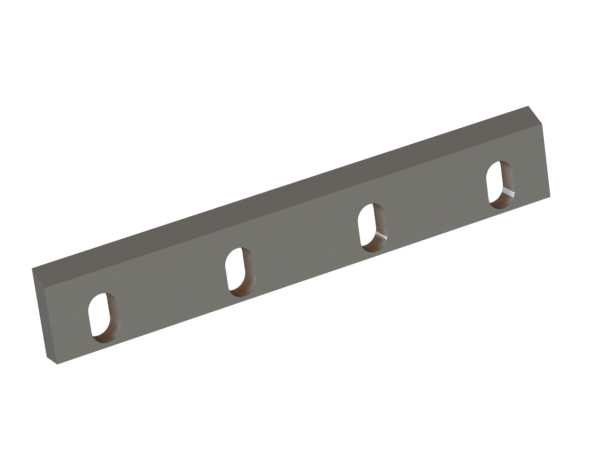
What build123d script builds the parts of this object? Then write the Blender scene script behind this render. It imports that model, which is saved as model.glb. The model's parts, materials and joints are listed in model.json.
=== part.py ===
from build123d import *
from math import radians, tan
import os

# Rotor knife of a granulator: one flat bar of through-hardened tool steel, ground on every
# outer face. It is bolted to the rotor through slots that run across it, so that it can be
# pushed out again each time the cutting edge has been reground.
#
# Frame, in millimetres: X runs along the cutting edge, Y goes from the bevelled front face
# to the plain back face, and Z goes up from the bottom edge to the cutting edge. The origin
# is the middle of the bottom edge.

# The bar
knife_length = 300.0
knife_width = 50.0  # from the bottom edge to the cutting edge
knife_thickness = 12.5
wedge_angle = 60.0  # between the back face and the bevel, in degrees

# The slots
bolt_diameter = 16.0
bolt_clearance = 0.5  # how much wider than its bolt a slot is
slot_travel = 10.75  # how far the knife can move across its bolts
slot_web = 2.6  # steel left between a slot and the bottom edge
slot_count = 4
end_distance = 30.0  # from each end of the knife to the middle of the nearest slot

# Edges broken after grinding. The cutting edge and the bevel's lower line stay as ground.
edge_break = 0.15
slot_edge_break = 0.2

# Worked out from those
front_y = -knife_thickness / 2
back_y = knife_thickness / 2
bevel_rise = knife_thickness / tan(radians(wedge_angle))
front_height = knife_width - bevel_rise
slot_width = bolt_diameter + bolt_clearance
slot_length = slot_travel + slot_width
slot_middle = slot_web + slot_length / 2
slot_pitch = (knife_length - 2 * end_distance) / (slot_count - 1)

with BuildPart() as rotor_knife:
    # The bar is drawn as its section: the back face runs the full width up to the cutting
    # edge, and the bevel slopes down from there to the top of the front face.
    with BuildSketch(Plane.YZ) as section:
        with BuildLine() as section_line:
            Polyline(
                (front_y, 0),
                (back_y, 0),
                (back_y, knife_width),
                (front_y, front_height),
                close=True,
            )
        make_face()
    extrude(amount=knife_length / 2, both=True)

    # The two upper edges along the bar are the cutting edge and the foot of the bevel.
    bar_edges = rotor_knife.edges()
    ground_edges = bar_edges.filter_by(Axis.X).sort_by(Axis.Z)[-2:]
    chamfer(bar_edges - ground_edges, edge_break)

    # The slots are milled straight through, square to both faces.
    with BuildSketch(Plane.XZ.offset(knife_thickness / 2)) as slot_sketch:
        with Locations((0, slot_middle)):
            with GridLocations(slot_pitch, 0, slot_count, 1):
                SlotCenterToCenter(slot_travel, slot_width, rotation=90)
    extrude(amount=-knife_thickness, mode=Mode.SUBTRACT)

    # The mouth of each slot is broken on both faces.
    slot_mouths = rotor_knife.edges(Select.LAST).filter_by(Axis.Y, reverse=True)
    chamfer(slot_mouths, slot_edge_break)

rotor_knife.part.label = "rotor_knife"

os.makedirs("parts", exist_ok=True)
export_step(rotor_knife.part, "parts/rotor_knife.step")
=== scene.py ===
import json
from math import cos, pi, radians, sin, tan
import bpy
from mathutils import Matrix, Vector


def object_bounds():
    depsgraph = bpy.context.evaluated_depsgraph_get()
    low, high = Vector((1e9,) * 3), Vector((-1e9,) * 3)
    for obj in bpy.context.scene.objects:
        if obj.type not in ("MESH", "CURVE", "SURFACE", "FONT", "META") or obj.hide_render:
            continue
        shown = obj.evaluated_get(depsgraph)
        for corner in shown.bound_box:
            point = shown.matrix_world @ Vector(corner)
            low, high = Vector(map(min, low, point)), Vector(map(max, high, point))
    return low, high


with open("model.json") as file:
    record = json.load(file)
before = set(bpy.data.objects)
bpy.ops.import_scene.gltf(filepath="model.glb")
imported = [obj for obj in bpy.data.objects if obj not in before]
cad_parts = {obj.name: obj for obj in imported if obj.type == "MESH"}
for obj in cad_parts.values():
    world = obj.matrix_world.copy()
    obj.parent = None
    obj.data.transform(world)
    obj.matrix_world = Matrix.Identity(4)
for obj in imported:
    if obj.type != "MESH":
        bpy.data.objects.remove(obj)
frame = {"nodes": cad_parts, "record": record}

from types import SimpleNamespace

import bpy
from mathutils import Matrix, Vector

cadLow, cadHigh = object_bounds()
knife = frame["nodes"]["rotor_knife"]
mounts = {mount["name"]: mount for mount in frame["record"]["mounts"]}
millimetre = 0.001
print("frame loaded, size", [round(side, 4) for side in cadHigh - cadLow])


# Camera: it looks at the middle of the bar, from the front, the left and above

camera = {
    "azimuth": -26.14,     # degrees round Z from straight in front
    "elevation": 22.0,
    "roll": -8.03,         # the picture's own tilt
    "distance": 2.024,     # metres to the middle of the bar
    "focal": 3856.2,       # in pixels of the picture
    "pictureWidth": 599,
    "sensorWidth": 36.0,
}


def makeCamera():
    azimuth, elevation = radians(camera["azimuth"]), radians(camera["elevation"])
    back = Vector((sin(azimuth) * cos(elevation), -cos(azimuth) * cos(elevation), sin(elevation)))
    turn = back.to_track_quat("Z", "Y").to_matrix().to_4x4()
    roll = Matrix.Rotation(radians(camera["roll"]), 4, "Z")
    middle = (cadLow + cadHigh) / 2
    bpy.ops.object.camera_add()
    made = bpy.context.object
    made.name = "camera"
    made.matrix_world = Matrix.Translation(middle + back * camera["distance"]) @ turn @ roll
    made.data.sensor_width = camera["sensorWidth"]
    made.data.lens = camera["focal"] * camera["sensorWidth"] / camera["pictureWidth"]
    bpy.context.scene.camera = made


makeCamera()
print("camera placed")


# Shader nodes: sums and products of sockets are written as plain expressions

class Socket:
    def __init__(self, tree, output):
        self.tree, self.output = tree, output

    def math(self, operation, *others):
        return self.tree.add("ShaderNodeMath", {"operation": operation}, dict(enumerate((self, *others))))

    def towards(self, other, share):
        return self + (other - self) * share

    def __add__(self, other):
        return self.math("ADD", other)

    def __sub__(self, other):
        return self.math("SUBTRACT", other)

    def __rsub__(self, other):
        return self.tree.add("ShaderNodeMath", {"operation": "SUBTRACT"}, {0: other, 1: self})

    def __mul__(self, other):
        return self.math("MULTIPLY", other)

    def __neg__(self):
        return self.math("MULTIPLY", -1.0)

    __radd__ = __add__


class NodeTree:
    def __init__(self, owner):
        owner.use_nodes = True
        self.nodes, self.links = owner.node_tree.nodes, owner.node_tree.links

    def add(self, kind, settings=None, values=None, output=0):
        made = self.nodes.new(kind)
        for name, value in (settings or {}).items():
            if name == "stops":
                self.setStops(made.color_ramp.elements, value)
            else:
                setattr(made, name, value)
        self.plug(made, values or {})
        return Socket(self, made.outputs[output])

    def plug(self, node, values):
        for name, value in values.items():
            if isinstance(value, Socket):
                self.links.new(value.output, node.inputs[name])
            else:
                node.inputs[name].default_value = value

    def setStops(self, ramp, stops):
        while len(ramp) < len(stops):
            ramp.new(0.5)
        for stop, (place, colour) in zip(ramp, stops):
            stop.position, stop.color = place, (*colour, 1)

    def mix(self, factor, first, second, blend="MIX"):
        first, second = [(*c, 1) if isinstance(c, tuple) else c for c in (first, second)]
        settings = {"data_type": "RGBA", "blend_type": blend}
        return self.add("ShaderNodeMix", settings, {0: factor, 6: first, 7: second}, output=2)

    def tint(self, factor, colour, tint):
        return self.mix(factor, colour, tint, blend="MULTIPLY")

    def brighten(self, colour, amount):
        return self.add("ShaderNodeVectorMath", {"operation": "SCALE"}, {0: colour, "Scale": amount})

    def ramp(self, place, stops):
        return self.add("ShaderNodeValToRGB", {"stops": stops}, {0: place})

    def fadeIn(self, value, start, end):
        settings = {"interpolation_type": "SMOOTHSTEP"}
        return self.add("ShaderNodeMapRange", settings, {0: value, 1: start, 2: end})

    def noise(self, x, y, z, detail, roughness=0.5):
        place = self.add("ShaderNodeCombineXYZ", {}, {0: x, 1: y, 2: z})
        values = {"Vector": place, "Scale": 1.0, "Detail": detail, "Roughness": roughness}
        return self.add("ShaderNodeTexNoise", {}, values)


# Where a point of the knife lies: on which face of the bar, or how far into which part of a slot

zones = {
    "wedgeAngle": 60.0,                                     # degrees between the back face and the bevel
    "faceSkin": (0.02 * millimetre, 0.04 * millimetre),     # a face's zone fades out between these,
    "slotSkin": (0.008 * millimetre, 0.04 * millimetre),    # and a slot's between these, outside its wall
}


def findZones(tree):
    at = SimpleNamespace()
    place = tree.add("ShaderNodeTexCoord", output="Object")
    at.x, at.y, at.z = [tree.add("ShaderNodeSeparateXYZ", {}, {0: place}, output=axis) for axis in range(3)]
    findFaces(tree, at)
    findSlots(tree, at)
    return at


def findFaces(tree, at):
    def near(offset):
        return 1 - tree.fadeIn(offset.math("ABSOLUTE"), *zones["faceSkin"])

    onFace, onBottom = near(at.y.math("ABSOLUTE") - cadHigh.y), near(at.z - cadLow.z)
    at.onEnd = near(at.x.math("ABSOLUTE") - cadHigh.x)
    at.onBevel = near(at.z - cadHigh.z - (at.y - cadHigh.y) * (1 / tan(radians(zones["wedgeAngle"]))))
    at.onGround = at.onEnd.math("MAXIMUM", at.onBevel).math("MAXIMUM", onFace).math("MAXIMUM", onBottom)


def findSlots(tree, at):
    first, second = mounts["slot_1"], mounts["slot_2"]
    middleX, _, middleZ = first["pos_m"]
    pitch = second["pos_m"][0] - middleX
    radius = first["dims"]["hole_r_mm"] * millimetre
    halfTravel = first["dims"]["slot_length_mm"] * millimetre / 2 - radius
    steps = (at.x - middleX) * (1 / pitch) + 0.5
    at.across = (steps.math("FRACT") - 0.5) * (pitch / radius)    # right of the nearest middle, in radii
    at.climb = (at.z - middleZ - halfTravel) * (1 / radius)       # above the middle of the upper round end
    at.drop = (middleZ - halfTravel - at.z) * (1 / radius)        # below the middle of the lower one
    beyond = at.climb.math("MAXIMUM", at.drop).math("MAXIMUM", 0.0)
    outwards = (at.across * at.across + beyond * beyond).math("SQRT")
    at.inSlot = 1 - tree.fadeIn(outwards, *[1 + gap / radius for gap in zones["slotSkin"]])
    at.depth = (at.y - cadLow.y) * (1 / (cadHigh.y - cadLow.y))   # 0 at the front mouth, 1 at the back one


# The ground steel of the outer faces

ground = {
    "colour": (0.1885, 0.189, 0.1732),
    "endPaintedLight": (1.19, 1.19, 1.23),     # painted light: the ends lifted brighter and a little bluer than the long faces
    "roughness": 0.36,
    "glancing": 0.5,                   # how bright it turns at a glancing angle, against a bare metal
    "fineLines": (1700, 22),           # grinding lines to the metre, across their run and along it
    "broadLines": (420, 9),
    "fineShare": 0.88,
    "clouds": (22, 60, 30),            # slow changes to the metre, along X, Y and Z
    "faceStep": 60,                    # moves the lines on from one face to the next,
    "broadStep": 7,                    # and the broad ones on from the fine ones
    "sweep": 6.0,                      # how much the lines curve on the bevel,
    "sweepHeight": 0.02,               # and the height that they curve round
    "lineColour": 0.12,                # how much the lines change the colour,
    "lineRoughness": 0.06,             # the roughness,
    "lineHeight": 0.004,               # and the height, in millimetres
    "cloudColour": 0.014,
    "edgeWearAndHighlight": 1.04,                # the broken edges, against the faces beside them: stoned a little brighter, and partly a painted highlight
    "edgeRoughness": 0.28,
}


def drawLines(tree, at):
    above = at.z - ground["sweepHeight"]
    acrossBevel = at.x + above * above * ground["sweep"]
    across = (at.z + at.y).towards(acrossBevel, at.onBevel).towards(at.y, at.onEnd)
    along = at.x.towards(at.z, at.onBevel.math("MAXIMUM", at.onEnd))
    layer = at.y * ground["faceStep"]
    fineAcross, fineAlong = ground["fineLines"]
    broadAcross, broadAlong = ground["broadLines"]
    fine = tree.noise(across * fineAcross, along * fineAlong, layer, detail=3.0, roughness=0.65)
    broad = tree.noise(across * broadAcross, along * broadAlong, layer + ground["broadStep"], detail=2.0)
    return (broad.towards(fine, ground["fineShare"]) - 0.5) * at.onGround


def scaled(at, sizes):
    return [place * size for place, size in zip((at.x, at.y, at.z), sizes)]


def groundColour(tree, at, lines):
    clouds = tree.noise(*scaled(at, ground["clouds"]), detail=3.0)
    brightness = 1 + lines * (2 * ground["lineColour"]) + (clouds - 0.5) * (2 * ground["cloudColour"])
    # Broken edges a little brighter: their stoned finish, and partly a painted highlight
    brightness = brightness * (at.onGround * (1 - ground["edgeWearAndHighlight"]) + ground["edgeWearAndHighlight"])
    # Painted light: the ends are drawn lighter than the long faces of the same steel
    return tree.tint(at.onEnd, tree.brighten(ground["colour"], brightness), ground["endPaintedLight"])


# The brown film in the slots, taken to be scale from hardening, with painted shade: darker towards the back
# mouth, and darker still in the high round end, at the heel and on the far side

scale = {
    "straight": [(0.1, (0.288, 0.266, 0.228)), (0.35, (0.278, 0.225, 0.181)),
                 (0.6, (0.231, 0.168, 0.124)), (0.9, (0.166, 0.121, 0.090))],     # each part by depth, paler and greyer at the front mouth, darker and browner towards the back: painted shade over the brown
    "shoulder": [(0.12, (0.325, 0.302, 0.275)), (0.5, (0.176, 0.101, 0.051)), (0.9, (0.144, 0.083, 0.041))],
    "low": [(0.12, (0.208, 0.152, 0.100)), (0.45, (0.176, 0.087, 0.036)), (0.9, (0.176, 0.105, 0.060))],
    "highPaintedShade": [(0.12, (0.96, 0.78, 0.65)), (0.3, (0.80, 0.62, 0.47)), (0.7, (0.70, 0.58, 0.45))],
    "heelPaintedShade": [(0.08, (1.0, 0.98, 0.94)), (0.35, (0.93, 0.86, 0.70)),
                 (0.62, (0.89, 0.85, 0.67)), (0.85, (0.74, 0.69, 0.55))],
    "farPaintedShade": (0.72, 0.70, 0.66),
    "leftTint": (0.99, 0.925, 0.85),        # browner in the slots to the left, greyer to the right
    "rightTint": (1.02, 1.06, 1.12),
    "highFrom": (0.0, 0.42),                # where each part fades in, in radii of the round ends
    "shoulderFrom": (-0.35, 0.35),
    "lowFrom": (0.68, 1.0),
    "farFrom": (0.05, 0.45),
    "heelFrom": (0.0, 0.3),
    "heelUnder": (0.2, 0.7),
    "glossyRoughness": 0.06,                # on the straight walls and shoulders that face left
    "dullRoughness": 0.40,                  # in the round ends and on the far sides
    "heelRoughness": 0.52,
    "shoulderMetal": 0.1,                   # low, so that the gloss of the shoulders is hardly tinted
    "mottle": (700, 400, 700),              # blotches to the metre, along X, Y and Z
    "mottleColour": 0.16,
    "cutterMarks": (2200, 70, 2200),        # fine marks from mouth to mouth
    "cutterColour": 0.12,
}


def findSlotParts(tree, at):
    at.high = tree.fadeIn(at.climb, *scale["highFrom"])    # the high round end
    at.low = tree.fadeIn(at.drop, *scale["lowFrom"])       # the low round end
    at.far = tree.fadeIn(-at.across, *scale["farFrom"])    # the side whose wall faces right
    # The shoulder is where the low end starts on the right, the heel where it turns up on the left
    at.shoulder = tree.fadeIn(at.drop, *scale["shoulderFrom"]) * (1 - at.far)
    at.heel = tree.fadeIn(-at.across, *scale["heelFrom"]) * tree.fadeIn(at.drop, *scale["heelUnder"])


def scaleAndShadeColour(tree, at):
    # Painted shade by depth: each part's ramp darkens from the front mouth to the back one
    colour = tree.ramp(at.depth, scale["straight"])
    colour = tree.mix(at.shoulder, colour, tree.ramp(at.depth, scale["shoulder"]))
    colour = tree.mix(at.low, colour, tree.ramp(at.depth, scale["low"]))
    # Painted shade: the high round end darker and browner, most towards the back
    colour = tree.tint(at.high, colour, tree.ramp(at.depth, scale["highPaintedShade"]))
    # Painted shade: the heel, where the low end turns up on the left, darker towards the back
    colour = tree.tint(at.heel, colour, tree.ramp(at.depth, scale["heelPaintedShade"]))
    # Painted shade: the walls on the far side, which face right, drawn darker
    colour = tree.tint(at.far, colour, scale["farPaintedShade"])
    share = at.x * (0.5 / cadHigh.x) + 0.5
    colour = tree.tint(1.0, colour, tree.mix(share, scale["leftTint"], scale["rightTint"]))
    mottle = tree.noise(*scaled(at, scale["mottle"]), detail=4.0, roughness=0.6)
    marks = tree.noise(*scaled(at, scale["cutterMarks"]), detail=2.0)
    patches = (mottle - 0.5) * (2 * scale["mottleColour"]) + (marks - 0.5) * (2 * scale["cutterColour"])
    return tree.brighten(colour, 1 + patches)


def scaleRoughness(at):
    dull = (at.high + at.low).math("MAXIMUM", at.far)
    roughness = scale["glossyRoughness"] + dull * (scale["dullRoughness"] - scale["glossyRoughness"])
    return roughness + at.heel * (scale["heelRoughness"] - scale["dullRoughness"])


def makeSteel():
    material = bpy.data.materials.new("groundToolSteel")
    tree = NodeTree(material)
    at = findZones(tree)
    findSlotParts(tree, at)
    lines = drawLines(tree, at)
    onEdge = (1 - at.onGround) * (ground["edgeRoughness"] - ground["roughness"])
    outside = ground["roughness"] + onEdge + lines * (2 * ground["lineRoughness"])
    roughness = outside.towards(scaleRoughness(at), at.inSlot)
    metallic = 1 - at.inSlot * at.shoulder * (1 - at.low) * (1 - scale["shoulderMetal"])
    bump = tree.add("ShaderNodeBump", {}, {"Height": lines, "Distance": ground["lineHeight"] * millimetre})
    tree.plug(tree.nodes["Principled BSDF"], {
        "Base Color": tree.mix(at.inSlot, groundColour(tree, at, lines), scaleAndShadeColour(tree, at)),
        "Metallic": metallic,
        "Roughness": roughness,
        "Normal": bump,
        "Specular Tint": (*[ground["glancing"]] * 3, 1),
    })
    return material


knife.data.materials.clear()
knife.data.materials.append(makeSteel())
print("steel applied")


# Studio: a pale floor, soft light from all round and two cards of daylight behind

studio = {
    "floorSize": 40.0,
    "floorColour": (0.16, 0.17, 0.18),
    "floorRoughness": 0.9,
    "floorGlow": 0.92,
    "level": 1.12,                         # how strong the light from all round is
    "backShare": (0.756, 0.751, 0.780),    # light from behind, against light from in front
    "topShare": (0.705, 0.658, 0.627),     # light from above, against light from below
    "cardLevel": 6.4,
    "cardAim": (0.05, 0.0, 0.034),         # the cards stand in one plane, square to this point,
    "cardDistance": 0.81,                  # at this distance,
    "cardBearing": 30.2,                   # this many degrees to the left of straight behind
    "cards": [((0.0025, -0.010), (0.065, 0.350), (0.63, 0.85, 1.0)),     # each one's place, size and colour
              ((0.0625, -0.0115), (0.055, 0.150), (0.71, 0.86, 0.90))],
}


def makeFloor():
    bpy.ops.mesh.primitive_plane_add(size=studio["floorSize"])
    floor = bpy.context.object
    floor.name = "floor"
    material = bpy.data.materials.new("paleFloor")
    tree = NodeTree(material)
    tree.plug(tree.nodes["Principled BSDF"], {
        "Base Color": (*studio["floorColour"], 1),
        "Roughness": studio["floorRoughness"],
        "Specular IOR Level": 0.0,
        "Emission Color": (1, 1, 1, 1),
        "Emission Strength": studio["floorGlow"],
    })
    floor.data.materials.append(material)
    floor.visible_glossy = False


def makeWorld():
    world = bpy.data.worlds.new("softStudio")
    bpy.context.scene.world = world
    tree = NodeTree(world)
    direction = tree.add("ShaderNodeTexCoord", output="Generated")
    y, z = [tree.add("ShaderNodeSeparateXYZ", {}, {0: direction}, output=axis) for axis in (1, 2)]
    white = (1.0, 1.0, 1.0)
    light = tree.mix(y * 0.5 + 0.5, white, studio["backShare"])
    light = tree.tint(1.0, light, tree.mix(z * 0.5 + 0.5, white, studio["topShare"]))
    lit = tree.add("ShaderNodeBackground", {}, {"Color": light, "Strength": studio["level"]})
    seen = tree.add("ShaderNodeBackground", {}, {"Color": (1, 1, 1, 1), "Strength": 1.0})
    fromCamera = tree.add("ShaderNodeLightPath", output="Is Camera Ray")
    both = tree.add("ShaderNodeMixShader", {}, {0: fromCamera, 1: lit, 2: seen})
    tree.plug(tree.nodes["World Output"], {"Surface": both})


def makeCards():
    aim, bearing = Vector(studio["cardAim"]), radians(studio["cardBearing"])
    forward = Vector((sin(bearing), -cos(bearing), 0))
    turn = forward.to_track_quat("-Z", "Y").to_matrix().to_4x4()
    plane = Matrix.Translation(aim - forward * studio["cardDistance"]) @ turn
    for number, ((right, up), (width, height), colour) in enumerate(studio["cards"], 1):
        bpy.ops.object.light_add(type="AREA")
        card = bpy.context.object
        card.name = "daylightCard_%d" % number
        card.matrix_world = plane @ Matrix.Translation((right, up, 0))
        card.data.shape = "RECTANGLE"
        card.data.size, card.data.size_y = width, height
        card.data.color = colour
        card.data.energy = studio["cardLevel"] * pi * width * height
        card.visible_camera = False


makeFloor()
makeWorld()
makeCards()
bpy.context.scene.view_settings.view_transform = "Standard"
print("studio lit")
